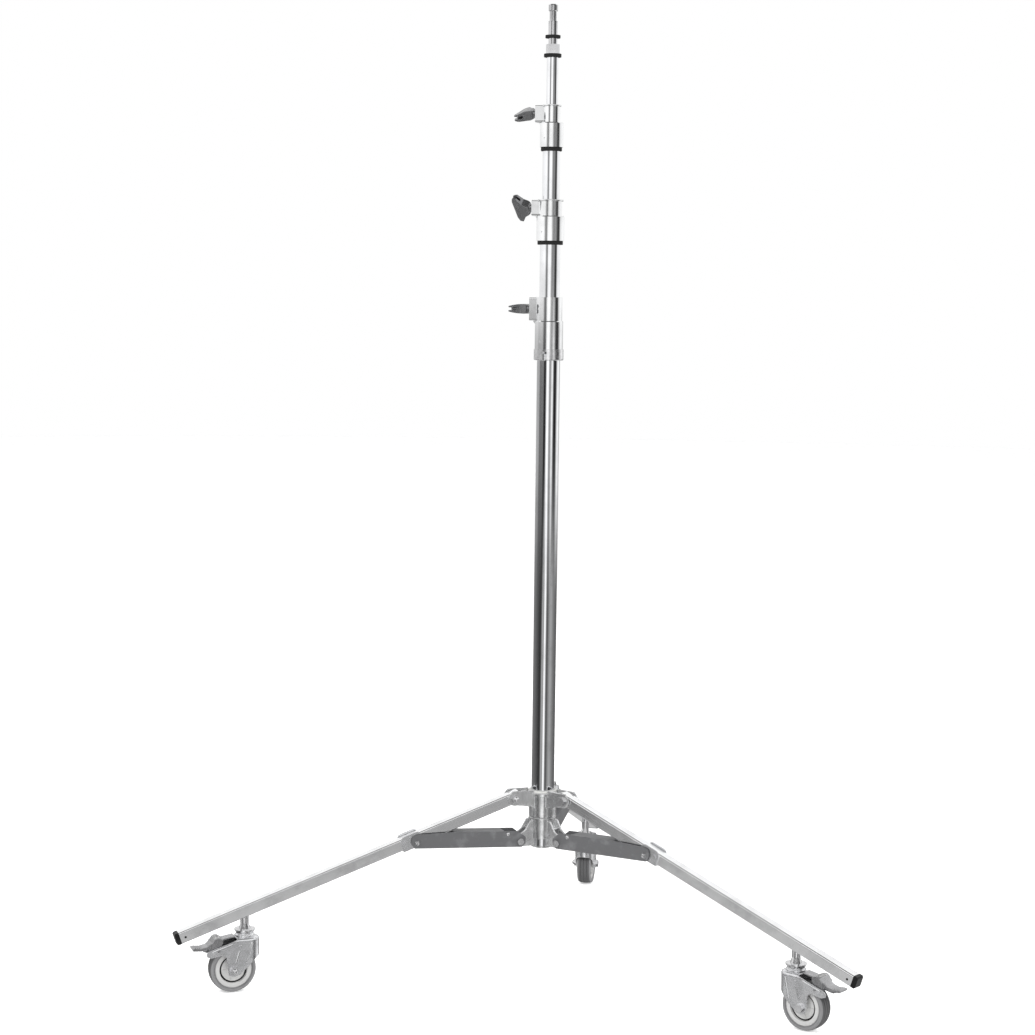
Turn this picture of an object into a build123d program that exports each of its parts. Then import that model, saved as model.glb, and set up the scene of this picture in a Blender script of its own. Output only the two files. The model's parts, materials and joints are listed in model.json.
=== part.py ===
"""Roller light stand: three telescopic risers on a folding low base with three braked casters.

Millimetres. +Z is up, the column stands on the Z axis and the floor is Z = 0.
Each leg is drawn in its own plane, X outward and Y across, then turned to its azimuth.
"""
from build123d import *
import math
import os

# ---- driving dimensions -------------------------------------------------------------------
LEG_AZIMUTHS = {"right": -30.0, "rear": 90.0, "left": 210.0}

COLUMN_R, COLUMN_WALL = 20.0, 1.5
COLUMN_BOTTOM, COLUMN_TOP = 214.0, 1134.0
HUB_R = 24.5                       # outside of both hub sleeves
LOWER_HUB_Z = (227.0, 264.7)       # fixed to the column, carries the braces
UPPER_HUB_Z = (265.0, 305.0)       # slides on the column, carries the legs
LINER_FLANGE_Z = 309.02            # underside of the nylon liner's flange
LINER_R, LINER_SEAT_R, CROWN_R = 22.0, 25.8, 28.0      # hub's bore, its flange recess and its crown

LEG_PIVOT = (56.0, 301.0)          # radius, height
LEG_SLOPE = 18.7                   # degrees below level
LEG_SIDE, LEG_WALL, LEG_CORNER = 20.0, 1.5, 2.5
LEG_INNER, LEG_OUTER = -11.0, 626.0    # tube ends, measured along the leg from its pivot
LEG_CAP = 8.0                      # thickness of the end plug's flange

BRACE_PIVOT = (46.0, 224.0)        # radius, height
PIN_ALONG, PIN_BELOW = 191.0, 5.5  # brace pin on the leg: along it, and below its centre line
BRACE_HALF, BRACE_SHEET = 14.8, 2.0
BRACE_LOW, BRACE_HIGH = -9.5, 18.5     # channel edges about the line between its two pins
BRACE_WEB = (30.0, 124.0)          # where the channel's top is closed, along the brace
BRACE_STOP = (24.0, 13.5)          # second rivet, in the brace's own axes

CASTER_R = 537.0                   # radius of the caster stems
TRAIL = 22.0                       # wheel centre behind its stem
WHEEL_R, WHEEL_HALF = 40.0, 14.0
RIM_R = 31.5
FORK_TOP, FORK_SHEET, FORK_HALF = 93.5, 2.2, 18.5
FORK_BACK, FORK_REACH = -6.5, 90.0     # centre of the fork's rounded back, and its open end
HOOD_RADIUS = 5.5                  # pressed edge round the top of the fork
PEDAL_PIVOT = (48.0, 75.5)         # in the caster's own plane: from the stem, height
CUP_Z = (100.3, 106.5)             # bearing cup under the leg

# one row per riser: tube radius, wall, bottom, top
RISERS = {1: (17.5, 1.5, 330.0, 1314.0), 2: (15.0, 1.5, 415.0, 1473.0), 3: (10.0, 1.5, 500.0, 1585.0)}
BUSH_LENGTH, BUSH_LIP, SLIDE_GAP = 56.0, 4.0, 0.08

# one row per clamp collar: body radius, ring radius, lip radius, boss reach, riser clamped, tube held,
# then heights: foot of the body, shoulder, top of the ring, lip thickness, and the knob's turn
COLLARS = {
    "lower": dict(body=24.4, ring=22.6, lip=22.6, boss=33.8, riser=17.5, tube=20.0,
                  foot=1087.0, shoulder=1136.0, top=1176.6, lip_h=4.0, turn=90.0),
    "middle": dict(body=24.0, ring=19.6, lip=22.2, boss=31.9, riser=15.0, tube=17.5,
                   foot=1273.4, shoulder=1316.0, top=1343.8, lip_h=3.0, turn=-45.0),
    "upper": dict(body=20.0, ring=14.2, lip=16.2, boss=27.3, riser=10.0, tube=15.0,
                  foot=1433.0, shoulder=1475.0, top=1505.0, lip_h=3.0, turn=71.0),
}
COLLAR_RINGS = {"middle": (22.0, 17.55, 1266.6, 1273.4), "upper": (18.2, 15.05, 1426.2, 1433.0)}
KNOB_AZIMUTH = 165.0
BOSS_WIDTH, SHANK_R = 20.0, 4.0
BAND_R = 25.8                      # split band under the lower collar
BOLT_R, PIVOT_GAP = 4.0, 0.06      # pivot bolts and their running clearance

STUD_R = 8.0                       # 16 mm lighting stud
STUD_TOP = 1674.3
STUD_RINGS = ((15.0, 8.6, 1585.0, 1591.0), (13.0, 7.8, 1617.2, 1622.4))

HUB_LOCK = (150.0, 284.0)          # azimuth and height of the thumb screw
SET_SCREW_AZIMUTHS, SET_SCREW_Z = (-62.0, 58.0, 178.0), 235.5
EPS = 0.02


# ---- helpers ------------------------------------------------------------------------------
def disc(radius, low, high, x=0.0, y=0.0):
    """Upright cylinder between two heights."""
    return Pos(x, y, (low + high) / 2) * Cylinder(radius, high - low)


def ring(outer, inner, low, high):
    return disc(outer, low, high) - disc(inner, low - 1, high + 1)


def block(x, y, z):
    """Box from three (low, high) pairs."""
    size = [b - a for a, b in (x, y, z)]
    centre = [(a + b) / 2 for a, b in (x, y, z)]
    return Pos(*centre) * Box(*size)


def crossbar(radius, x, z, y_low, y_high):
    """Cylinder lying along Y."""
    return Pos(x, (y_low + y_high) / 2, z) * Rot(90, 0, 0) * Cylinder(radius, y_high - y_low)


def spoke(radius, x_low, x_high, z=0.0, y=0.0):
    """Cylinder lying along X."""
    return Pos((x_low + x_high) / 2, y, z) * Rot(0, 90, 0) * Cylinder(radius, x_high - x_low)


def hexagon(flats, y_low, y_high, x, z):
    """Hexagonal prism lying along Y, such as a bolt head."""
    face = Plane.XZ * RegularPolygon(flats / 2, 6, major_radius=False)
    return Pos(x, y_high, z) * extrude(face, y_high - y_low)


def side_plate(outline, y_low, y_high):
    """Plate with an outline drawn in the X-Z plane, between two Y values."""
    return Pos(0, y_high, 0) * extrude(Plane.XZ * outline, y_high - y_low)


def polygon(*points):
    return make_face(Polyline(*points, close=True))


def both_sides(shape):
    return [shape, mirror(shape, Plane.XZ)]


def turned(shape, azimuth):
    """Moves a shape drawn along X round to an azimuth."""
    return Rot(0, 0, azimuth) * shape


def for_each_azimuth(shape, azimuths):
    return [turned(shape, a) for a in azimuths]


def rounded(shape, axis, radius):
    """Fillets every edge that runs along an axis."""
    return fillet(shape.edges().filter_by(axis), radius)


# ---- linkage ------------------------------------------------------------------------------
def leg_placement():
    """From a leg's own axes (X along the tube) to the leg plane."""
    return Pos(LEG_PIVOT[0], 0, LEG_PIVOT[1]) * Rot(0, LEG_SLOPE, 0)


def pin_point():
    """Radius and height of the pin that joins brace and leg."""
    slope = math.radians(LEG_SLOPE)
    radius = LEG_PIVOT[0] + PIN_ALONG * math.cos(slope) - PIN_BELOW * math.sin(slope)
    height = LEG_PIVOT[1] - PIN_ALONG * math.sin(slope) - PIN_BELOW * math.cos(slope)
    return radius, height


def brace_line():
    """Length between the brace's pins, and its rise in degrees."""
    radius, height = pin_point()
    run, rise = radius - BRACE_PIVOT[0], height - BRACE_PIVOT[1]
    return math.hypot(run, rise), math.degrees(math.atan2(rise, run))


def leg_height(radius):
    """Height of a leg's centre line over a radius."""
    return LEG_PIVOT[1] - (radius - LEG_PIVOT[0]) * math.tan(math.radians(LEG_SLOPE))


# ---- mast ---------------------------------------------------------------------------------
def column_tube():
    return ring(COLUMN_R, COLUMN_R - COLUMN_WALL, COLUMN_BOTTOM, COLUMN_TOP)


def column_plug():
    plug = disc(COLUMN_R, COLUMN_BOTTOM - 4, COLUMN_BOTTOM - EPS)
    plug = fillet(plug.edges().sort_by(Axis.Z)[0], 1.5)
    return plug + disc(COLUMN_R - COLUMN_WALL - 0.05, COLUMN_BOTTOM - 1, COLUMN_BOTTOM + 16)


def riser_tube(number):
    radius, wall, low, high = RISERS[number]
    return ring(radius, radius - wall, low, high)


def riser_bush(number):
    """Guide sleeve on a riser's foot; its lip closes the gap under the tube."""
    radius, wall, low, _ = RISERS[number]
    bore = COLUMN_R - COLUMN_WALL if number == 1 else RISERS[number - 1][0] - RISERS[number - 1][1]
    outside = bore - SLIDE_GAP
    sleeve = ring(outside, radius + 0.06, low - 0.3, low + BUSH_LENGTH)
    lip = ring(outside, radius - wall + 0.6, low - 0.3 - BUSH_LIP, low - 0.3)
    return sleeve + lip


def collar(name):
    """Clamp casting: body round the lower tube, ring round the riser, and the screw's boss."""
    c = COLLARS[name]
    body = disc(c["body"], c["foot"], c["shoulder"])
    body = chamfer(body.edges().sort_by(Axis.Z)[-1], 1.6)
    neck = disc(c["ring"], c["shoulder"] - 1, c["top"])
    lip = disc(c["lip"], c["top"] - c["lip_h"], c["top"])
    lip = fillet(lip.edges(), 1.0)
    boss = block((0, c["boss"]), (-BOSS_WIDTH / 2, BOSS_WIDTH / 2), (c["shoulder"], c["top"] - 0.6))
    boss = rounded(boss, Axis.X, 3.0)
    rib = block((c["ring"] - 3, c["boss"] - 5), (-3, 3), (c["shoulder"] - 7, c["shoulder"] + 2))
    rib = chamfer(rib.edges().sort_by(Axis.Z)[:4].sort_by(Axis.X)[-1], 5)
    casting = body + neck + lip + turned(boss + rib, KNOB_AZIMUTH)
    casting -= disc(c["tube"] + 0.03, c["foot"] - 1, c["shoulder"] - 1.5)
    casting -= disc(c["riser"] + 0.1, c["foot"], c["top"] + 1)
    height = knob_height(name)
    casting -= turned(spoke(SHANK_R + PIVOT_GAP, 5, c["boss"] + 5, height), KNOB_AZIMUTH)
    casting -= turned(spoke(4.9, 5, c["riser"] + 3.4, height), KNOB_AZIMUTH)
    dimple = spoke(2.0, c["body"] - 1.2, c["body"] + 5, c["foot"] + 14)
    return casting - turned(dimple, -118.0)


def collar_lower_band():
    """Split steel band that grips the foot of the lower collar on the column."""
    c = COLLARS["lower"]
    band = ring(BAND_R, COLUMN_R + 0.05, c["foot"] - 19, c["foot"] - EPS)
    band = fillet(band.edges().sort_by(Axis.Z)[0], 2.0)
    slot = block((15, 30), (-1.5, 1.5), (c["foot"] - 20, c["foot"] - 6))
    notch = block((15, 30), (-4, 4), (c["foot"] - 8, c["foot"] - 4))
    return band - turned(slot + notch, -95.0)


def collar_ring(name):
    outer, inner, low, high = COLLAR_RINGS[name]
    bumper = ring(outer, inner, low, high - EPS)
    return fillet(bumper.edges().sort_by(Axis.Z)[0], 1.0)


def knob_height(name):
    c = COLLARS[name]
    return (c["shoulder"] + c["top"]) / 2 - 0.3


def clamp_shoe(name):
    """Pressure pad between the knob's screw and the riser."""
    c = COLLARS[name]
    pad = spoke(4.8, c["riser"] + 0.3, c["riser"] + 2.6, knob_height(name))
    return turned(pad, KNOB_AZIMUTH)


def knob(name):
    """T-shaped clamp knob with hollow wings, and its screw."""
    c = COLLARS[name]
    start = c["boss"] + 1.2
    screw = spoke(SHANK_R, c["riser"] + 2.8, start + 12)
    neck = spoke(6.5, start, start + 7)
    points = [(start + 5, 0), (start + 5, 7.5), (start + 16, 14), (start + 24, 26), (start + 31, 26),
              (start + 34, 18), (start + 34, 0)]
    outline = Polyline(*points) + Polyline(*[(x, -z) for x, z in points])
    wings = rounded(side_plate(make_face(outline), -9, 9), Axis.Y, 2.0)
    edge = [(start, 5.5), (start + 9, 8.5), (start + 18, 8.0), (start + 35, 3.9)]
    section = Polyline(*edge) + Polyline(*[(x, -y) for x, y in edge])
    section += Line(edge[0], (edge[0][0], -edge[0][1])) + Line(edge[-1], (edge[-1][0], -edge[-1][1]))
    wings &= extrude(make_face(section), 40, both=True)
    for side in (-1, 1):
        ends = sorted((side * 8.0, side * 30.0))
        wings -= block((start + 19, start + 40), (-2.3, 2.3), ends)
    handle = screw + neck + wings
    placed = Pos(0, 0, knob_height(name)) * Rot(c["turn"], 0, 0) * handle
    return turned(placed, KNOB_AZIMUTH)


def spigot():
    """16 mm stud with a groove under its head, on a hexagonal base that plugs the top riser."""
    radius, wall, _, top = RISERS[3]
    plug = disc(radius - wall - 0.05, top - 45, top)
    washer_seat = disc(8.5, top - 1, STUD_RINGS[0][3] + 1)
    hexbase = extrude(Plane.XY.offset(STUD_RINGS[0][3]) * RegularPolygon(10.2, 6, major_radius=False), 16)
    neck = disc(7.7, STUD_RINGS[0][3] + 15, STUD_RINGS[1][3] + 1)
    stem = disc(STUD_R, STUD_RINGS[1][3], 1646.0)
    groove = disc(6.1, 1645.0, 1663.0)
    head = disc(STUD_R, 1662.5, STUD_TOP)
    head = chamfer(head.edges().sort_by(Axis.Z)[-1], 1.5)
    head = chamfer(head.edges().sort_by(Axis.Z)[0], 1.0)
    return plug + washer_seat + hexbase + neck + stem + groove + head


def spigot_rings():
    rings = [ring(*row) for row in STUD_RINGS]
    return [fillet(r.edges().group_by(Axis.Z)[-1] + r.edges().group_by(Axis.Z)[0], 0.8) for r in rings]


# ---- hubs ---------------------------------------------------------------------------------
EAR_IN, EAR_OUT = 11.2, 14.2       # leg ears, across
LUG_IN, LUG_OUT = 7.8, 11.8        # brace lugs, across


def ear_outline():
    x, z = LEG_PIVOT
    ear = polygon((18, 281), (27, 285), (44, 287.5), (58, 289), (69, 301), (62, 314), (18, 314))
    return ear + Pos(x, z) * Circle(13)


def upper_hub():
    sleeve = disc(HUB_R, *UPPER_HUB_Z)
    sleeve = chamfer(sleeve.edges().sort_by(Axis.Z)[-1], 1.0)
    crown = disc(CROWN_R, 303.5, 309.0)
    ear = side_plate(ear_outline(), EAR_IN, EAR_OUT)
    web_outline = polygon((15, 284), (27, 286), (36, 290), (36, 308), (15, 308))
    web = side_plate(web_outline, -EAR_IN - 1, EAR_IN + 1)
    hub = sleeve + crown
    for azimuth in LEG_AZIMUTHS.values():
        for piece in both_sides(ear) + [web]:
            hub += turned(piece, azimuth)
    hub += turned(spoke(9.0, 15, HUB_R + 4.5, HUB_LOCK[1]), HUB_LOCK[0])
    hub -= disc(LINER_R, 200, 400)
    hub -= disc(LINER_SEAT_R, LINER_FLANGE_Z - EPS, 320)
    hub -= turned(spoke(3.0 + PIVOT_GAP, 10, 40, HUB_LOCK[1]), HUB_LOCK[0])
    holes = crossbar(BOLT_R + 0.02, *LEG_PIVOT, -20, 20)
    for azimuth in LEG_AZIMUTHS.values():
        hub -= turned(holes, azimuth)
    return hub


def upper_hub_liner():
    """Nylon sleeve between the sliding hub and the column."""
    flange = ring(25.5, COLUMN_R + SLIDE_GAP, LINER_FLANGE_Z, 312.5)
    flange = fillet(flange.edges().group_by(Axis.Z)[-1], 1.2)
    liner = ring(21.95, COLUMN_R + SLIDE_GAP, UPPER_HUB_Z[0], LINER_FLANGE_Z + 1) + flange
    hole = turned(spoke(3.6, 10, 40, HUB_LOCK[1]), HUB_LOCK[0])
    return liner - hole


def pivot_bolt(x, z, face, head=5.0, flats=13.0):
    """Bolt through both cheeks, with a hexagonal head and a domed nut."""
    bolt = crossbar(BOLT_R, x, z, -face - head, face + head)
    bolt += hexagon(flats, face + EPS, face + head, x, z)
    bolt += hexagon(flats, -face - head, -face - EPS, x, z)
    dome = Pos(x, face + head, z) * Sphere(5.2)
    return bolt + dome


def upper_hub_bolts():
    return for_each_azimuth(pivot_bolt(*LEG_PIVOT, EAR_OUT), LEG_AZIMUTHS.values())


def hub_lock():
    """Thumb screw that holds the sliding hub on the column."""
    azimuth, height = HUB_LOCK
    head = spoke(7.5, HUB_R + 6.0, HUB_R + 17.0, height)
    head = chamfer(head.edges(), 1.2)
    shank = spoke(3.0, COLUMN_R + 0.4, HUB_R + 8, height)
    return turned(head + shank, azimuth)


def lug_outline():
    x, z = BRACE_PIVOT
    lug = polygon((18, 214.5), (46, 214), (55, 222), (54, 231), (46, 236), (36, 243), (27, 259), (18, 260))
    return lug + Pos(x, z) * Circle(10)


def lower_hub():
    hub = disc(HUB_R, *LOWER_HUB_Z)
    hub = chamfer(hub.edges().sort_by(Axis.Z)[-1], 0.8)
    lug = side_plate(lug_outline(), LUG_IN, LUG_OUT)
    foot = side_plate(polygon((15, 228), (31, 228), (31, 246), (15, 252)), -LUG_IN - 1, LUG_IN + 1)
    for azimuth in LEG_AZIMUTHS.values():
        for piece in both_sides(lug) + [foot]:
            hub += turned(piece, azimuth)
    hub -= disc(COLUMN_R + 0.04, 200, 300)
    pin = crossbar(BOLT_R + 0.02, *BRACE_PIVOT, -20, 20)
    for azimuth in LEG_AZIMUTHS.values():
        hub -= turned(pin, azimuth)
    for azimuth in SET_SCREW_AZIMUTHS:
        hub -= turned(spoke(3.05, 15, 30, SET_SCREW_Z), azimuth)
    return hub


def lower_hub_screws():
    """Socket set screws that fix the lower hub to the column."""
    screw = spoke(3.0, COLUMN_R + 0.1, HUB_R - 0.6, SET_SCREW_Z)
    screw -= Pos(HUB_R - 1.6, 0, SET_SCREW_Z) * Rot(0, 90, 0) * extrude(RegularPolygon(1.5, 6), 2)
    return for_each_azimuth(screw, SET_SCREW_AZIMUTHS)


def lower_hub_pins():
    pin = crossbar(BOLT_R, *BRACE_PIVOT, -BRACE_HALF - 2.6, BRACE_HALF + 2.6)
    for side in (-1, 1):
        ends = sorted((side * (BRACE_HALF + 0.25), side * (BRACE_HALF + 3.0)))
        pin += crossbar(6.0, *BRACE_PIVOT, *ends)
    return for_each_azimuth(pin, LEG_AZIMUTHS.values())


# ---- legs and braces ----------------------------------------------------------------------
def square_tube(side, corner, low, high):
    """Rounded square bar along X."""
    bar = block((low, high), (-side / 2, side / 2), (-side / 2, side / 2))
    return rounded(bar, Axis.X, corner)


def leg_tube():
    tube = square_tube(LEG_SIDE, LEG_CORNER, LEG_INNER, LEG_OUTER)
    inside = LEG_SIDE - 2 * LEG_WALL
    tube -= square_tube(inside, LEG_CORNER - LEG_WALL, LEG_INNER - 1, LEG_OUTER + 1)
    tube -= crossbar(BOLT_R + PIVOT_GAP, 0, 0, -20, 20)
    tube -= crossbar(2.0, LEG_OUTER - 9, -1, -20, 20)
    placed = leg_placement() * tube
    return placed - disc(5.1, 100, leg_height(CASTER_R), x=CASTER_R)


def leg_end_cap():
    flange = square_tube(LEG_SIDE + 0.6, LEG_CORNER, LEG_OUTER + EPS, LEG_OUTER + LEG_CAP)
    flange = chamfer(flange.edges().sort_by(Axis.X)[-8:], 2.2)
    inside = LEG_SIDE - 2 * LEG_WALL - 0.1
    insert = square_tube(inside, LEG_CORNER - LEG_WALL, LEG_OUTER - 14, LEG_OUTER + 1)
    insert -= crossbar(2.1, LEG_OUTER - 9, -1, -20, 20)
    return leg_placement() * (flange + insert)


def leg_saddle():
    """Sheet saddle round the leg's underside, riveted through it, that takes the brace's pin."""
    inner, outer = LEG_SIDE / 2 + 0.05, LEG_SIDE / 2 + 2.1
    low, high = PIN_ALONG - 12, PIN_ALONG + 27
    cheek = block((low, high), (inner, outer), (-outer, 13.5))
    cheek = fillet(cheek.edges().filter_by(Axis.Y).sort_by(Axis.Z)[-2:], 9.0)
    sole = block((low, high), (-outer, outer), (-outer, -inner))
    saddle = sole + both_sides(cheek)[0] + both_sides(cheek)[1]
    rivet = crossbar(4.0, PIN_ALONG + 19, 2.0, outer - 0.5, outer + 1.8)
    for head in both_sides(rivet):
        saddle += head
    return leg_placement() * saddle


def caster_stem():
    """Bearing cup, cone and king pin, all fixed to the leg."""
    under = leg_height(CASTER_R) - LEG_SIDE / 2 / math.cos(math.radians(LEG_SLOPE))
    cup = Solid.make_cone(15.0, 17.8, CUP_Z[1] - CUP_Z[0] - 1.5, Plane.XY.offset(CUP_Z[0]))
    cup += disc(17.8, CUP_Z[1] - 1.5, CUP_Z[1])
    cone = Solid.make_cone(9.5, 6.5, 12.0, Plane.XY.offset(CUP_Z[1] - EPS))
    neck = disc(7.5, CUP_Z[1] + 10, under + 6)
    leg_space = Pos(-CASTER_R, 0, 0) * leg_placement() * square_tube(LEG_SIDE + 0.1, LEG_CORNER, -20, 700)
    pin = disc(5.0, CUP_Z[1] + 5, leg_height(CASTER_R) - 1)
    king = disc(4.0, 84.5, CUP_Z[0] + 2) + disc(7.5, 84.5, 90.3)
    return Pos(CASTER_R, 0, 0) * (cup + cone + (neck - leg_space) + pin + king)


def brace_outline(length):
    """Side of the channel, along X from the inner pin."""
    return polygon((-3, BRACE_LOW), (length + 5, BRACE_LOW), (length + 12, 0), (length + 10, 11),
                   (length, 15), (BRACE_WEB[1], BRACE_HIGH), (6, BRACE_HIGH), (-9.5, 8), (-9.5, -3))


def brace():
    """Pressed channel, open below; its rivets are separate solids."""
    length, rise = brace_line()
    plate = side_plate(brace_outline(length), BRACE_HALF - BRACE_SHEET, BRACE_HALF)
    plate = rounded(plate, Axis.Y, 2.5)
    plate -= crossbar(BOLT_R + PIVOT_GAP, 0, 0, -20, 20)
    rivet_at = ((length, 0, 5.0), (*BRACE_STOP, 3.4))
    for x, z, _ in rivet_at:
        plate -= crossbar(2.55, x, z, -20, 20)
    web = block(BRACE_WEB, (-BRACE_HALF + 0.5, BRACE_HALF - 0.5), (BRACE_HIGH - BRACE_SHEET, BRACE_HIGH))
    channel = both_sides(plate)[0] + both_sides(plate)[1] + web
    solids = [channel]
    for x, z, head in rivet_at:
        stub = crossbar(2.5, x, z, BRACE_HALF - BRACE_SHEET, BRACE_HALF + 1)
        button = crossbar(head, x, z, BRACE_HALF + EPS, BRACE_HALF + 2.4)
        button = fillet(button.edges().sort_by(Axis.Y)[-1], 1.4)
        solids += both_sides(stub + button)
    place = Pos(BRACE_PIVOT[0], 0, BRACE_PIVOT[1]) * Rot(0, -rise, 0)
    return [place * solid for solid in solids]


# ---- casters, drawn with the stem on Z and the wheel trailing along +X --------------------
def fork_plan(inset, low, high):
    """Long hood with a round back and a pressed, rounded top edge."""
    half = FORK_HALF - inset
    sides = Pos((FORK_BACK + FORK_REACH) / 2, 0) * Rectangle(FORK_REACH - FORK_BACK, 2 * half)
    plan = Pos(FORK_BACK, 0) * Circle(half) + sides
    hood = extrude(Plane.XY.offset(low) * plan, high - low)
    return fillet(hood.edges().group_by(Axis.Z)[-1], HOOD_RADIUS - inset)


def caster_fork():
    """Stamped hood and cheeks, with long arms that carry the brake pedal."""
    shell = fork_plan(0, 25, FORK_TOP) - fork_plan(FORK_SHEET, 20, FORK_TOP - FORK_SHEET)
    outline = polygon((-26, FORK_TOP + 1), (14, FORK_TOP + 1), (16, 91.5), (66, 75.5), (69.5, 71),
                      (68, 66), (61, 63.5), (40, 67), (35, 62), (33.5, 42), (31, 32), (22, 28.5), (13, 31),
                      (-2, 44), (-16, 58), (-26, 63))
    fork = shell & side_plate(outline, -30, 30)
    fork += disc(14.5, FORK_TOP - 0.5, CUP_Z[0] - 0.3)
    fork -= disc(BOLT_R + PIVOT_GAP, 80, 110)
    fork -= crossbar(BOLT_R + 0.02, TRAIL, WHEEL_R, -30, 30)
    fork -= crossbar(2.0 + PIVOT_GAP, *PEDAL_PIVOT, -30, 30)
    for head in both_sides(crossbar(2.6, 11.0, 80.0, FORK_HALF - 1, FORK_HALF + 1.2)):
        fork += head
    return fork


def caster_axle():
    return pivot_bolt(TRAIL, WHEEL_R, FORK_HALF, head=5.5)


def caster_tyre():
    """Grey rubber tread with a crowned face and thin grooves."""
    half = WHEEL_HALF
    outline = Polyline((RIM_R, -half + 2), (RIM_R, half - 2)) + Line((RIM_R, half - 2), (RIM_R + 3, half))
    outline += Line((RIM_R + 3, half), (WHEEL_R - 3.5, half - 1.5))
    outline += ThreePointArc((WHEEL_R - 3.5, half - 1.5), (WHEEL_R, 0), (WHEEL_R - 3.5, -half + 1.5))
    outline += Line((WHEEL_R - 3.5, -half + 1.5), (RIM_R + 3, -half))
    outline += Line((RIM_R + 3, -half), (RIM_R, -half + 2))
    tyre = revolve(make_face(Plane.XZ * outline), Axis.Z)
    return Pos(TRAIL, 0, WHEEL_R) * Rot(90, 0, 0) * tyre


def caster_rim():
    """Moulded wheel centre with ribs round a long hub."""
    bore = BOLT_R + PIVOT_GAP
    hub_half = FORK_HALF - FORK_SHEET - 0.5
    hub = disc(10.0, -hub_half, hub_half)
    felloe = ring(RIM_R - 0.02, 23.5, -12.2, 12.2)
    web = disc(25.0, -3.0, 3.0)
    rim = hub + felloe + web
    for turn in range(4):
        rib = block((9, 24), (-1.5, 1.5), (-10.5, 10.5))
        rim += turned(rib, 45 + 90 * turn)
    rim -= disc(bore, -30, 30)
    return Pos(TRAIL, 0, WHEEL_R) * Rot(90, 0, 0) * rim


def caster_pedal():
    """Two-step brake pedal: press the outer tab to brake the wheel, the inner hump to free it."""
    half = FORK_HALF - FORK_SHEET - 1.3
    strap = polygon((19, 96.6), (41, 93.2), (44.5, 95.8), (50, 96.6), (54.5, 94), (58, 89), (66, 82.6),
                    (77, 79.8), (89, 81), (92, 79.4), (90.5, 76.4), (77, 75.4), (64, 77), (56, 71.6),
                    (51, 70.9), (44.5, 74.5), (42, 84), (38, 91.0), (19, 94.2))
    pedal = rounded(side_plate(strap, -half, half), Axis.Y, 0.7)
    for side in (-1, 1):
        waist = sorted((side * (half - 3.5), side * 30))
        pedal -= block((60, 95), waist, (60, 100))
        pedal -= block((10, 40), sorted((side * (half - 5), side * 30)), (85, 100))
    for side in (-1, 1):
        ends = sorted((side * (half - 1), side * (FORK_HALF + 1.4)))
        pedal += crossbar(2.0, *PEDAL_PIVOT, *ends)
    return pedal


def on_stem(shape):
    return Pos(CASTER_R, 0, 0) * shape


# ---- writing ------------------------------------------------------------------------------
def write(name, shapes):
    solids = shapes if isinstance(shapes, list) else [shapes]
    found = [s for shape in solids for s in shape.solids()]
    node = found[0] if len(found) == 1 else Compound(children=found)
    export_step(node, f"parts/{name}.step")


def mast_nodes():
    nodes = {"column_tube": column_tube(), "column_plug": column_plug(), "spigot": spigot(),
             "spigot_rings": spigot_rings(), "collar_lower_band": collar_lower_band()}
    for number in RISERS:
        nodes[f"riser_{number}_tube"] = riser_tube(number)
        nodes[f"riser_{number}_bush"] = riser_bush(number)
    for name in COLLARS:
        nodes[f"collar_{name}"] = collar(name)
        nodes[f"collar_{name}_shoe"] = clamp_shoe(name)
        nodes[f"knob_{name}"] = knob(name)
    for name in COLLAR_RINGS:
        nodes[f"collar_{name}_ring"] = collar_ring(name)
    return nodes


def hub_nodes():
    return {"upper_hub": upper_hub(), "upper_hub_liner": upper_hub_liner(),
            "upper_hub_bolts": upper_hub_bolts(), "hub_lock": hub_lock(), "lower_hub": lower_hub(),
            "lower_hub_screws": lower_hub_screws(), "lower_hub_pins": lower_hub_pins()}


def leg_nodes():
    """Everything that repeats at each leg, still in the leg plane."""
    return {"leg_{}_tube": leg_tube(), "leg_{}_end_cap": leg_end_cap(), "leg_{}_saddle": leg_saddle(),
            "brace_{}": brace(), "caster_{}_stem": caster_stem(), "caster_{}_fork": on_stem(caster_fork()),
            "caster_{}_axle": on_stem(caster_axle()), "caster_{}_tyre": on_stem(caster_tyre()),
            "caster_{}_rim": on_stem(caster_rim()), "caster_{}_pedal": on_stem(caster_pedal())}


def main():
    os.makedirs("parts", exist_ok=True)
    for name, shapes in {**mast_nodes(), **hub_nodes()}.items():
        write(name, shapes)
    for pattern, shapes in leg_nodes().items():
        solids = shapes if isinstance(shapes, list) else [shapes]
        for leg, azimuth in LEG_AZIMUTHS.items():
            write(pattern.format(leg), [turned(s, azimuth) for s in solids])


main()
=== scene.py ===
"""Looks of a roller light stand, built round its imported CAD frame. Metres, +Z up, floor at Z = 0."""
import json
import math

import bmesh
import bpy
from mathutils import Matrix, Vector


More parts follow.
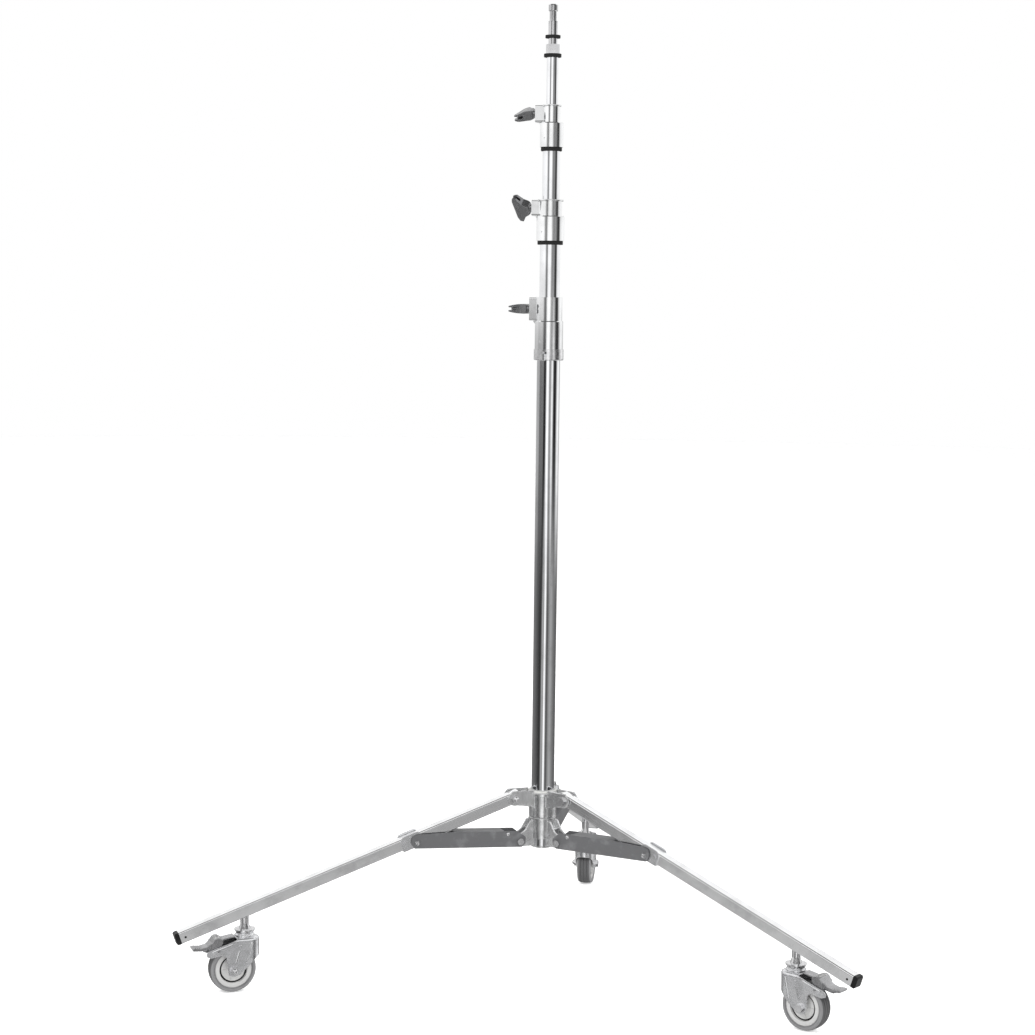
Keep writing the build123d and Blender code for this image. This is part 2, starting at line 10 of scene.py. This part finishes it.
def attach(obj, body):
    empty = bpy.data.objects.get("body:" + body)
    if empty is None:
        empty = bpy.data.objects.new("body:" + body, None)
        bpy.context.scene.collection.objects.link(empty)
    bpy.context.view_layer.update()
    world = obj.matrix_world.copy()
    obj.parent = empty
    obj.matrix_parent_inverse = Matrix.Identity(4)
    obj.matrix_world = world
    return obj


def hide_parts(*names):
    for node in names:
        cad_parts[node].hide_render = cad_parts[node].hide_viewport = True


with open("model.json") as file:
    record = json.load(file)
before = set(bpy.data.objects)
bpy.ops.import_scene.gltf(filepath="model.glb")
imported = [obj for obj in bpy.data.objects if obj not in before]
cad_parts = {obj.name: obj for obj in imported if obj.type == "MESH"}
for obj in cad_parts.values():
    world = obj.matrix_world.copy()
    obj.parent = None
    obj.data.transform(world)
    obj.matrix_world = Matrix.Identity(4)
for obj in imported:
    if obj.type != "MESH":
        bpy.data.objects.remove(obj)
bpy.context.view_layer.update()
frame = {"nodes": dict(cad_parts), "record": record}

MM = 0.001
LEGS = {"right": -30.0, "rear": 90.0, "left": 210.0}     # azimuth of each leg
COLLARS = ("lower", "middle", "upper")
LEG_SLOPE = 18.7
# the rest of the sizes are millimetres, in a leg's own plane: X outward from the axis, Z up
CASTER_R, TRAIL = 537.0, 22.0                            # caster stem, and the wheel behind its stem
WHEEL_R, RIM_R, FORK_HALF = 40.0, 31.5, 18.5
BRACE_PIVOT, BRACE_LENGTH, BRACE_RISE, BRACE_HALF = (46.0, 224.0), 189.448, 3.1933, 14.8
BRACE_RIVETS = ((BRACE_LENGTH, 0, 5.3), (24, 13.5, 3.7))    # along the brace, above its pins' line, radius
RIVET_HEIGHT = 2.9

# ---- camera and light ---------------------------------------------------------------------
CAMERA_AZIMUTH = math.radians(9.26)
CAMERA_DISTANCE, CAMERA_HEIGHT = 4.0036, 1.199
CAMERA_PITCH, CAMERA_YAW, CAMERA_ROLL = 0.101, -0.0126, 0.0124
SENSOR, LENS = 36.0, 80.2


def add_camera():
    cos_p, sin_p = math.cos(CAMERA_PITCH), math.sin(CAMERA_PITCH)
    cos_y, sin_y = math.cos(CAMERA_YAW), math.sin(CAMERA_YAW)
    forward = Vector((cos_p * sin_y, cos_p * cos_y, -sin_p))
    level_right = Vector((cos_y, -sin_y, 0))
    level_up = level_right.cross(forward)
    right = math.cos(CAMERA_ROLL) * level_right + math.sin(CAMERA_ROLL) * level_up
    up = math.cos(CAMERA_ROLL) * level_up - math.sin(CAMERA_ROLL) * level_right
    pose = Matrix((right, up, -forward)).transposed().to_4x4()
    pose.translation = (0, -CAMERA_DISTANCE, CAMERA_HEIGHT)
    data = bpy.data.cameras.new("camera")
    data.sensor_width, data.lens = SENSOR, LENS
    data.clip_end = 60
    camera = bpy.data.objects.new("camera", data)
    camera.matrix_world = Matrix.Rotation(CAMERA_AZIMUTH, 4, "Z") @ pose
    bpy.context.scene.collection.objects.link(camera)
    bpy.context.scene.camera = camera


# What the chrome mirrors: brightness by bearing in degrees, 0 towards the camera and positive to its
# right. Rings of soft boxes and dark gaps lie above the horizon, just below it and near the floor.
UPPER_RING = ((-180, .85), (-60, 1.2), (-50, .95), (-42, .34), (-28, .28), (-20, 1.1), (8, 1.2),
              (18, .5), (30, .22), (45, .3), (55, .18), (66, .02), (80, .08), (92, .9), (130, 1.1),
              (180, .85))
LOWER_RING = ((-180, .45), (-150, .5), (-102, .42), (-92, .17), (-50, .18), (-42, .03), (-29, .008),
              (-23, .12), (-16, .95), (-10, 1.25), (2, 1.25), (10, .42), (20, .3), (29, .6), (41, 1.2),
              (50, .45), (57, .05), (76, .002), (86, .1), (97, .65), (112, 1.2), (130, .95), (146, .6),
              (180, .45))
FLOOR_RING = ((-180, .3), (-100, .14), (-60, .05), (-46, .03), (-36, .1), (-26, .45), (-12, .3), (-4, 1.2),
              (5, 1.1), (14, .16), (28, .1), (42, .3), (62, .42), (80, .3), (96, .2), (120, .14), (150, .12),
              (180, .3))
# What is seen looking steeply down: still banded, and light where the legs' sides look.
DEEP_RING = ((-180, .5), (-160, .95), (-135, .4), (-118, .12), (-104, .5), (-60, .54), (-48, .14),
             (-30, .03), (-20, .5), (-12, 1.15), (4, 1.1), (13, .2), (24, .14), (31, .5), (54, .54),
             (63, .1), (78, .03), (92, .35), (112, 1.1), (132, .8), (152, .14), (180, .5))
OPEN_CEILING, DARK_GAP, OVERHEAD = 1.0, 0.03, 0.12
# Where each of them gives way to the next, as the height of a direction of length 1.
TO_LOWER_RING, TO_DEEP_RING, TO_UPPER_RING = (-0.14, -0.07), (-0.245, -0.222), (-0.03, 0.0)
TO_DARK_GAP, TO_CEILING, TO_OVERHEAD = (0.11, 0.14), (0.19, 0.27), (0.78, 0.84)
# place, width and power of each soft lamp
LAMPS = {"key": ((-2.4, -2.6, 3.4), 2.2, 110), "fill": ((3.0, -1.2, 2.2), 2.0, 50),
         "back": ((0.6, 3.2, 3.0), 2.0, 60)}
LAMP_AIM = (0, 0, 0.6)
FLOOR_RADIUS, FLOOR_GLOW = 14, 0.42


def add_world():
    world = bpy.data.worlds.new("studio")
    world.use_nodes = True
    bpy.context.scene.world = world
    nodes, links = world.node_tree.nodes, world.node_tree.links

    def math_node(operation, *values):
        node = nodes.new("ShaderNodeMath")
        node.operation = operation
        for slot, value in zip(node.inputs, values):
            if isinstance(value, bpy.types.NodeSocket):
                links.new(value, slot)
            else:
                slot.default_value = value
        return node.outputs[0]

    def mix(factor, a, b):
        node = nodes.new("ShaderNodeMix")
        links.new(factor, node.inputs[0])
        for slot, value in ((node.inputs[2], a), (node.inputs[3], b)):
            if isinstance(value, bpy.types.NodeSocket):
                links.new(value, slot)
            else:
                slot.default_value = value
        return node.outputs[0]

    def step(value, span):
        node = nodes.new("ShaderNodeMapRange")
        node.interpolation_type = "SMOOTHSTEP"
        links.new(value, node.inputs[0])
        node.inputs[1].default_value, node.inputs[2].default_value = span
        return node.outputs[0]

    def ring_of_light(bearing, stops):
        ramp = nodes.new("ShaderNodeValToRGB")
        links.new(bearing, ramp.inputs[0])
        elements = ramp.color_ramp.elements
        while len(elements) < len(stops):
            elements.new(0.5)
        for element, (degrees, value) in zip(elements, stops):
            element.position = degrees / 360 + 0.5
            element.color = (value, value, value * 1.01, 1)
        return math_node("ADD", ramp.outputs[0], 0.0)

    direction = nodes.new("ShaderNodeTexCoord").outputs["Generated"]
    facing = nodes.new("ShaderNodeMapping")
    facing.inputs["Rotation"].default_value[2] = -CAMERA_AZIMUTH
    links.new(direction, facing.inputs[0])
    axes = nodes.new("ShaderNodeSeparateXYZ")
    links.new(facing.outputs[0], axes.inputs[0])
    side, depth, height = axes.outputs
    angle = math_node("ARCTAN2", side, math_node("MULTIPLY", depth, -1.0))
    bearing = math_node("MULTIPLY_ADD", angle, 1 / (2 * math.pi), 0.5)
    stops = (UPPER_RING, LOWER_RING, FLOOR_RING, DEEP_RING)
    upper, lower, floor, deep = [ring_of_light(bearing, ring) for ring in stops]
    low = mix(step(height, TO_LOWER_RING), floor, lower)
    low = mix(step(height, TO_DEEP_RING), deep, low)
    light = mix(step(height, TO_UPPER_RING), low, upper)
    light = mix(step(height, TO_DARK_GAP), light, DARK_GAP)
    light = mix(step(height, TO_CEILING), light, OPEN_CEILING)
    light = mix(step(height, TO_OVERHEAD), light, OVERHEAD)
    seen = nodes.new("ShaderNodeLightPath").outputs["Is Camera Ray"]
    background = nodes["Background"]
    links.new(mix(seen, light, 1.0), background.inputs["Strength"])
    background.inputs["Color"].default_value = (1, 1, 1, 1)


def add_lamp(name, place, size, power):
    data = bpy.data.lights.new(name, "AREA")
    data.shape = "DISK"
    data.size, data.energy = size, power
    lamp = bpy.data.objects.new(name, data)
    lamp.location = place
    aim = Vector(LAMP_AIM) - Vector(place)
    lamp.rotation_euler = aim.to_track_quat("-Z", "Y").to_euler()
    lamp.visible_glossy = False
    bpy.context.scene.collection.objects.link(lamp)


def add_floor():
    mesh = bpy.data.meshes.new("floor")
    form = bmesh.new()
    bmesh.ops.create_circle(form, cap_ends=True, segments=96, radius=FLOOR_RADIUS)
    form.to_mesh(mesh)
    form.free()
    floor = bpy.data.objects.new("floor", mesh)
    floor.visible_glossy = False
    bpy.context.scene.collection.objects.link(floor)
    paint = Finish("floor_paint", (0.86, 0.86, 0.86), 0.9)
    paint.shader.inputs["Emission Color"].default_value = (1, 1, 1, 1)
    paint.shader.inputs["Emission Strength"].default_value = FLOOR_GLOW
    mesh.materials.append(paint.material)


# ---- materials ----------------------------------------------------------------------------
class Finish:
    """One procedural material. Textures are in the object's own metres."""

    def __init__(self, name, colour, roughness, metallic=0.0):
        self.material = bpy.data.materials.new(name)
        self.material.use_nodes = True
        self.nodes, self.links = self.material.node_tree.nodes, self.material.node_tree.links
        self.shader = self.nodes["Principled BSDF"]
        self.shader.inputs["Base Color"].default_value = (*colour, 1)
        self.shader.inputs["Roughness"].default_value = roughness
        self.shader.inputs["Metallic"].default_value = metallic
        self.normal = None
        self.place = None

    def add(self, kind, inputs=None, **settings):
        node = self.nodes.new("ShaderNode" + kind)
        for key, value in settings.items():
            setattr(node, key, value)
        for key, value in (inputs or {}).items():
            if isinstance(value, bpy.types.NodeSocket):
                self.links.new(value, node.inputs[key])
            else:
                node.inputs[key].default_value = value
        return node

    def coordinates(self, scale=(1, 1, 1), turn=None):
        """Object coordinates, turned into a piece's own axes and stretched along them."""
        vector = self.place or self.add("TexCoord").outputs["Object"]
        self.place = vector
        for rotation in turn or ():
            vector = self.add("Mapping", {"Vector": vector, "Rotation": rotation}).outputs[0]
        return self.add("Mapping", {"Vector": vector, "Scale": scale}).outputs[0]

    def noise(self, scale, detail=3.0, stretch=(1, 1, 1), turn=None, rough=0.5):
        vector = self.coordinates(stretch, turn)
        sockets = {"Vector": vector, "Scale": scale, "Detail": detail, "Roughness": rough}
        return self.add("TexNoise", sockets).outputs[0]

    def range(self, value, low, high, source=(0.3, 0.7)):
        sockets = {"Value": value, 1: source[0], 2: source[1], 3: low, 4: high}
        return self.add("MapRange", sockets).outputs[0]

    def tint(self, factor, one, other):
        """Base colour that runs between two colours."""
        mix = self.add("Mix", data_type="RGBA")
        self.links.new(factor, mix.inputs[0])
        mix.inputs[6].default_value = (*one, 1)
        mix.inputs[7].default_value = (*other, 1)
        self.links.new(mix.outputs[2], self.shader.inputs["Base Color"])

    def vary_roughness(self, factor, low, high, source=(0.3, 0.7)):
        self.links.new(self.range(factor, low, high, source), self.shader.inputs["Roughness"])

    def soften_edges(self, radius):
        self.normal = self.add("Bevel", {"Radius": radius}, samples=4).outputs[0]
        self.links.new(self.normal, self.shader.inputs["Normal"])

    def bump(self, height, depth, strength=1.0):
        sockets = {"Height": height, "Distance": depth, "Strength": strength}
        if self.normal:
            sockets["Normal"] = self.normal
        self.normal = self.add("Bump", sockets).outputs[0]
        self.links.new(self.normal, self.shader.inputs["Normal"])


def chrome(name, colour, roughness, turn=None, along=2):
    """Plated drawn tube: faint draw lines along it, a slow waver in the reflection, finger smudges."""
    finish = Finish(name, colour, roughness[0], 1.0)
    stretch = [1.0, 1.0, 1.0]
    stretch[along] = 0.012
    lines = finish.noise(520, 2.0, stretch, turn)
    smudge = finish.noise(22, 4.0, (1, 1, 1), turn, 0.6)
    waver = finish.noise(26, 1.0, [0.14 if s < 1 else 1.0 for s in stretch], turn)
    dark = [c * 0.86 for c in colour]
    finish.tint(finish.range(smudge, 0.0, 1.0, (0.45, 0.75)), colour, dark)
    finish.vary_roughness(smudge, *roughness)
    finish.bump(waver, 0.0006, 0.35)
    finish.bump(lines, 0.00002, 0.5)
    return finish.material


def casting(name, colour, roughness, grain=0.00012):
    """Die casting: pebbled skin, softened edges, random patches of lighter and darker tone."""
    finish = Finish(name, colour, roughness[0], 0.92)
    pebble = finish.noise(900, 3.0)
    patch = finish.noise(60, 4.0, rough=0.62)
    finish.tint(finish.range(patch, 0.0, 1.0), [c * 1.05 for c in colour], [c * 0.72 for c in colour])
    finish.vary_roughness(patch, *roughness)
    finish.soften_edges(0.0004)
    finish.bump(patch, 0.0004, 0.25)
    finish.bump(pebble, grain, 0.5)
    return finish.material


def zinc_sheet(name, colour, roughness, metallic=0.95):
    """Plated pressed sheet: small crystal patches and rolling marks."""
    finish = Finish(name, colour, roughness[0], metallic)
    cells = finish.add("TexVoronoi", {"Vector": finish.coordinates(), "Scale": 300}, feature="F1")
    streak = finish.noise(260, 3.0, (1, 1, 0.08))
    patch = finish.noise(45, 3.0)
    finish.tint(finish.range(patch, 0.0, 1.0), colour, [c * 0.78 for c in colour])
    finish.vary_roughness(cells.outputs["Distance"], *roughness, source=(0.1, 0.7))
    finish.soften_edges(0.0003)
    finish.bump(streak, 0.00006, 0.3)
    return finish.material


def enamel(name, colour, roughness, speckle=0.00008, chips=True):
    """Sprayed paint: orange peel, a little bare metal colour where it is rubbed."""
    finish = Finish(name, colour, roughness[0])
    peel = finish.noise(700, 2.0)
    patch = finish.noise(38, 4.0, rough=0.65)
    worn = [min(1.0, c * 1.5 + 0.03) for c in colour] if chips else [c * 1.15 for c in colour]
    finish.tint(finish.range(patch, 0.0, 1.0, (0.52, 0.78)), colour, worn)
    finish.vary_roughness(patch, *roughness)
    finish.soften_edges(0.0004)
    finish.bump(peel, speckle, 0.6)
    finish.shader.inputs["Coat Weight"].default_value = 0.15
    finish.shader.inputs["Coat Roughness"].default_value = 0.3
    return finish.material


def moulded(name, colour, roughness, grain=0.00005, scale=1100):
    """Moulded plastic or rubber: fine spark grain, dust in patches."""
    finish = Finish(name, colour, roughness[0])
    finish.shader.inputs["Specular IOR Level"].default_value = 0.3
    spark = finish.noise(scale, 2.0)
    dust = finish.noise(55, 4.0, rough=0.6)
    dusty = [c * 0.9 + 0.012 for c in colour]
    finish.tint(finish.range(dust, 0.0, 1.0, (0.5, 0.8)), colour, dusty)
    finish.vary_roughness(dust, *roughness)
    finish.bump(spark, grain, 0.5)
    return finish.material


def leg_turns(azimuth):
    """Mapping rotations that bring a leg's length onto X."""
    return ((0, 0, -math.radians(azimuth)), (0, -math.radians(LEG_SLOPE), 0))


def make_finishes():
    finishes = {
        "chrome_tube": chrome("chrome_tube", (0.86, 0.865, 0.88), (0.035, 0.11)),
        "cast_zinc": casting("cast_zinc", (0.8, 0.805, 0.81), (0.15, 0.28)),
        "satin_zinc": chrome("satin_zinc", (0.9, 0.905, 0.91), (0.07, 0.15)),
        "plated_steel": zinc_sheet("plated_steel", (0.86, 0.86, 0.87), (0.1, 0.2)),
        "zinc_plate": zinc_sheet("zinc_plate", (0.88, 0.885, 0.9), (0.14, 0.27)),
        "brace_steel": enamel("brace_steel", (0.105, 0.106, 0.11), (0.4, 0.58)),
        "pedal_steel": zinc_sheet("pedal_steel", (0.5, 0.5, 0.51), (0.18, 0.34)),
        "dark_knob": casting("dark_knob", (0.3, 0.302, 0.308), (0.24, 0.38)),
        "stud_steel": chrome("stud_steel", (0.74, 0.74, 0.75), (0.07, 0.16)),
        "black_rubber": moulded("black_rubber", (0.012, 0.012, 0.012), (0.55, 0.75)),
        "black_plastic": moulded("black_plastic", (0.006, 0.006, 0.0065), (0.3, 0.45)),
        "nylon": moulded("nylon", (0.6, 0.6, 0.585), (0.4, 0.55)),
        "grey_tyre": moulded("grey_tyre", (0.21, 0.21, 0.214), (0.5, 0.7), 0.0001, 700),
        "tyre_tread": moulded("tyre_tread", (0.09, 0.09, 0.092), (0.6, 0.8), 0.00015, 500),
        "rim_plastic": moulded("rim_plastic", (0.5, 0.5, 0.495), (0.35, 0.5)),
        "brass": zinc_sheet("brass", (0.72, 0.52, 0.24), (0.3, 0.45)),
    }
    for leg, azimuth in LEGS.items():
        finishes[f"leg_tube_{leg}"] = chrome(f"leg_tube_{leg}", (0.95, 0.953, 0.96), (0.09, 0.18),
                                             leg_turns(azimuth), along=0)
    return finishes


def finish_cad_nodes(finishes):
    """Gives every CAD node its finish, by the record's material slot."""
    for row in frame["record"]["subparts"]:
        node, slot = row["node"], row["material_slot"]
        key = slot if slot in finishes else f"leg_tube_{node.split('_')[1]}"
        mesh = frame["nodes"][node].data
        mesh.materials.clear()
        mesh.materials.append(finishes[key])


# ---- shapes -------------------------------------------------------------------------------
def leg_frame(leg):
    """From millimetres in a leg's plane to metres in the row frame."""
    return Matrix.Rotation(math.radians(LEGS[leg]), 4, "Z") @ Matrix.Scale(MM, 4)


def caster_frame(leg):
    return leg_frame(leg) @ Matrix.Translation((CASTER_R, 0, 0))


def wheel_frame(leg):
    """Z along the axle."""
    place = Matrix.Translation((TRAIL, 0, WHEEL_R)) @ Matrix.Rotation(math.radians(90), 4, "X")
    return caster_frame(leg) @ place


def brace_frame(leg):
    """X along the line between the brace's two pins."""
    place = Matrix.Translation((BRACE_PIVOT[0], 0, BRACE_PIVOT[1]))
    return leg_frame(leg) @ place @ Matrix.Rotation(math.radians(-BRACE_RISE), 4, "Y")


def arc(centre, radius, start, end, steps):
    """Points on an arc, in degrees from the outline's first axis."""
    turns = [math.radians(start + (end - start) * i / steps) for i in range(steps + 1)]
    return [(centre[0] + radius * math.cos(t), centre[1] + radius * math.sin(t)) for t in turns]


def lathe(form, outline, place, segments=96, slots=None):
    """Turns a closed outline of (radius, height) points round Z. slots gives each side its material."""
    turns = [2 * math.pi * i / segments for i in range(segments)]
    rings = [[form.verts.new(place @ Vector((r * math.cos(t), r * math.sin(t), z))) for r, z in outline]
             for t in turns]
    count = len(outline)
    for i in range(segments):
        here, there = rings[i], rings[(i + 1) % segments]
        for j in range(count):
            k = (j + 1) % count
            face = form.faces.new((here[j], there[j], there[k], here[k]))
            face.smooth = True
            face.material_index = slots[j] if slots else 0


def dome(form, place, radius, height, collar=0.8):
    """Rivet head: a short collar under a low dome, sunk a little below Z = 0."""
    foot, axis = -0.4, 0.05
    crown = arc((0, collar), 1.0, 0, 90, 7)
    outline = [(radius * x, collar + (height - collar) * (z - collar)) for x, z in crown]
    outline[-1] = (axis, outline[-1][1])
    lathe(form, [(axis, foot), (radius, foot)] + outline, place, 32)


def add_piece(name, form, body, materials, sharp=35):
    bmesh.ops.recalc_face_normals(form, faces=form.faces)
    mesh = bpy.data.meshes.new(name)
    form.to_mesh(mesh)
    form.free()
    for material in materials:
        mesh.materials.append(material)
    mesh.shade_smooth()
    mesh.set_sharp_from_angle(angle=math.radians(sharp))
    piece = bpy.data.objects.new(name, mesh)
    bpy.context.scene.collection.objects.link(piece)
    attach(piece, body)
    return piece


def body_of_node(node):
    bodies = frame["record"]["behaviour"]["bodies"]
    return next(body for body, nodes in bodies.items() if node in nodes)


def cast_over(node, material, voxel, passes, keep, extra=None):
    """Replaces a CAD node with its own form, fused with any extra shapes and rounded at every edge.

    voxel is in millimetres, passes counts the smoothing, and keep is the share of faces left at the end.
    """
    form = bmesh.new()
    form.from_mesh(frame["nodes"][node].data)
    if extra:
        extra(form)
    mesh = bpy.data.meshes.new("raw")
    form.to_mesh(mesh)
    form.free()
    raw = bpy.data.objects.new("raw", mesh)
    bpy.context.scene.collection.objects.link(raw)
    fuse = raw.modifiers.new("fuse", "REMESH")
    fuse.mode = "VOXEL"
    fuse.voxel_size = voxel * MM
    soften = raw.modifiers.new("soften", "SMOOTH")
    soften.factor, soften.iterations = 0.5, passes
    thin = raw.modifiers.new("thin", "DECIMATE")
    thin.ratio = keep
    depsgraph = bpy.context.evaluated_depsgraph_get()
    cast = bpy.data.meshes.new_from_object(raw.evaluated_get(depsgraph))
    bpy.data.objects.remove(raw)
    cast.name = node + "_cast"
    cast.materials.clear()
    cast.materials.append(material)
    cast.shade_smooth()
    piece = bpy.data.objects.new(node + "_cast", cast)
    bpy.context.scene.collection.objects.link(piece)
    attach(piece, body_of_node(node))
    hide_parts(node)


def capsule(form, start, end, radius, place):
    """Bar with round ends between two points."""
    start, end = place @ Vector(start), place @ Vector(end)
    size = radius * place.to_scale()[0]
    aim = (end - start).to_track_quat("Z", "Y").to_matrix().to_4x4()
    middle = Matrix.Translation((start + end) / 2) @ aim
    bmesh.ops.create_cone(form, cap_ends=True, segments=20, radius1=size, radius2=size,
                          depth=(end - start).length, matrix=middle)
    for point in (start, end):
        bmesh.ops.create_icosphere(form, subdivisions=3, radius=size, matrix=Matrix.Translation(point))


# ---- castings -----------------------------------------------------------------------------
def add_castings(finishes):
    for node in ("upper_hub", "lower_hub"):
        cast_over(node, finishes["cast_zinc"], 0.75, 4, 0.3)
    for name in COLLARS:
        cast_over(f"knob_{name}", finishes["dark_knob"], 0.45, 7, 0.3)


# ---- casters ------------------------------------------------------------------------------
TREAD_GROOVES, GROOVE_DEPTH, TREAD_CROWN = (-6.0, 0.0, 6.0), 0.9, 0.009
WHEEL_RIBS, WHEEL_SIDES = 5, 128


def tyre_outline():
    """Section of the tyre: bead, rounded sidewall, shoulder, crowned tread with grooves."""
    side = [(RIM_R - 0.3, 11.9), (RIM_R + 0.5, 12.7), (RIM_R + 1.2, 12.2), (RIM_R + 2.0, 13.4)]
    side += arc((RIM_R + 4.2, 11.4), 2.55, 120, 25, 6)
    side += [(38.6, 10.9), (39.2, 9.6)]
    tread = []
    for groove in reversed(TREAD_GROOVES):
        crown = WHEEL_R - abs(groove) ** 2 * TREAD_CROWN
        floor = crown - GROOVE_DEPTH
        tread += [(crown, groove + 0.9), (floor, groove + 0.45), (floor, groove - 0.45),
                  (crown, groove - 0.9)]
    mirrored = [(r, -z) for r, z in reversed(side)]
    slots = [0] * (len(side) - 2) + [1] * (len(tread) + 3) + [0] * (len(mirrored) - 1)
    return side + tread + mirrored, slots


def rim_outline():
    """Section of the wheel centre: flange ring, step, dished web and long hub."""
    side = [(4.1, 15.6), (8.6, 15.6), (9.4, 14.9), (9.8, 12.0), (11.5, 10.4), (19.6, 9.9), (20.6, 9.2),
            (20.9, 6.0), (23.2, 6.0), (23.6, 10.9), (24.4, 12.0), (30.2, 12.2), (31.2, 11.6)]
    return side + [(r, -z) for r, z in reversed(side)]


def add_tyre(leg, finishes):
    """Tyre with a lighter sidewall and a darker tread."""
    form = bmesh.new()
    outline, slots = tyre_outline()
    lathe(form, outline, wheel_frame(leg), WHEEL_SIDES, slots)
    tyre = add_piece(f"tyre_{leg}", form, f"wheel_{leg}",
                     [finishes["grey_tyre"], finishes["tyre_tread"]])
    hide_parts(f"caster_{leg}_tyre")


def add_rim(leg, finishes):
    """Wheel centre with a ring of moulded ribs on each face."""
    form = bmesh.new()
    place = wheel_frame(leg)
    lathe(form, rim_outline(), place, WHEEL_SIDES)
    for turn in range(WHEEL_RIBS):
        spin = Matrix.Rotation(2 * math.pi * turn / WHEEL_RIBS, 4, "Z")
        for side in (-1, 1):
            capsule(form, (12.5, 0, side * 10.2), (18.5, 0, side * 9.9), 0.9, place @ spin)
    rim = add_piece(f"rim_{leg}", form, f"wheel_{leg}", [finishes["rim_plastic"]])
    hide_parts(f"caster_{leg}_rim")


def add_painted_groove_shade(leg, finishes):
    """Black ring laid in the groove on each face of the wheel: painted shade, a dark part standing in for
    the shade in the gap between hub and rim.
    """
    form = bmesh.new()
    for side in (-1, 1):
        # section of the black ring that paints the groove's shade
        shade_ring_section = arc((22.0, side * 8.2), 1.25, 0, 330, 11)
        lathe(form, shade_ring_section, wheel_frame(leg), 96)
    add_piece(f"painted_groove_shade_{leg}", form, f"wheel_{leg}", [finishes["black_plastic"]])


def add_fork(leg, finishes):
    """Fork with its pressed ribs and bearing race."""
    place = caster_frame(leg)

    def pressings(form):
        for side in (-1, 1):
            y = side * (FORK_HALF - 0.5)
            capsule(form, (25, y, 84.6), (58, y, 74.2), 1.3, place)
            capsule(form, (-8.5, y, 84), (-1.5, y, 52), 1.6, place)
            capsule(form, (13, y, 72), (19, y, 52), 1.2, place)
        race = arc((14.6, 96.0), 2.2, 0, 330, 11)
        lathe(form, race, place, 64)

    cast_over(f"caster_{leg}_fork", finishes["zinc_plate"], 0.5, 3, 0.3, pressings)


def add_pedal(leg, finishes):
    """Pedal with ribs across its tab, and a grip of two bars on its hump."""
    place = caster_frame(leg)

    def ribs(form):
        for x in (76, 79.5, 83, 86.5):
            height = 80.0 + (x - 76) * 0.1
            capsule(form, (x, -9, height), (x, 9, height), 0.75, place)

    cast_over(f"caster_{leg}_pedal", finishes["pedal_steel"], 0.5, 3, 0.35, ribs)
    form = bmesh.new()
    for x, height in ((46.5, 95.4), (51.5, 94.8)):
        capsule(form, (x, -8, height), (x, 8, height), 2.1, place)
    add_piece(f"pedal_grip_{leg}", form, f"pedal_{leg}", [finishes["rim_plastic"]], 60)


def add_rivets(leg, finishes):
    """Bright heads on the brace: one pair at its outer pin, one near its inner end."""
    form = bmesh.new()
    for x, z, radius in BRACE_RIVETS:
        for side in (-1, 1):
            outward = Matrix.Rotation(math.radians(-90 * side), 4, "X")
            seat = Matrix.Translation((x, side * BRACE_HALF, z)) @ outward
            dome(form, brace_frame(leg) @ seat, radius, RIVET_HEIGHT)
    add_piece(f"brace_{leg}_rivets", form, f"brace_{leg}", [finishes["plated_steel"]])


def main():
    add_camera()
    add_world()
    for name, lamp in LAMPS.items():
        add_lamp(name, *lamp)
    add_floor()
    finishes = make_finishes()
    finish_cad_nodes(finishes)
    add_castings(finishes)
    for leg in LEGS:
        add_tyre(leg, finishes)
        add_rim(leg, finishes)
        # black rings in the wheels' grooves: painted shade
        add_painted_groove_shade(leg, finishes)
        add_fork(leg, finishes)
        add_pedal(leg, finishes)
        add_rivets(leg, finishes)
    bpy.context.scene.view_settings.view_transform = "Standard"


main()
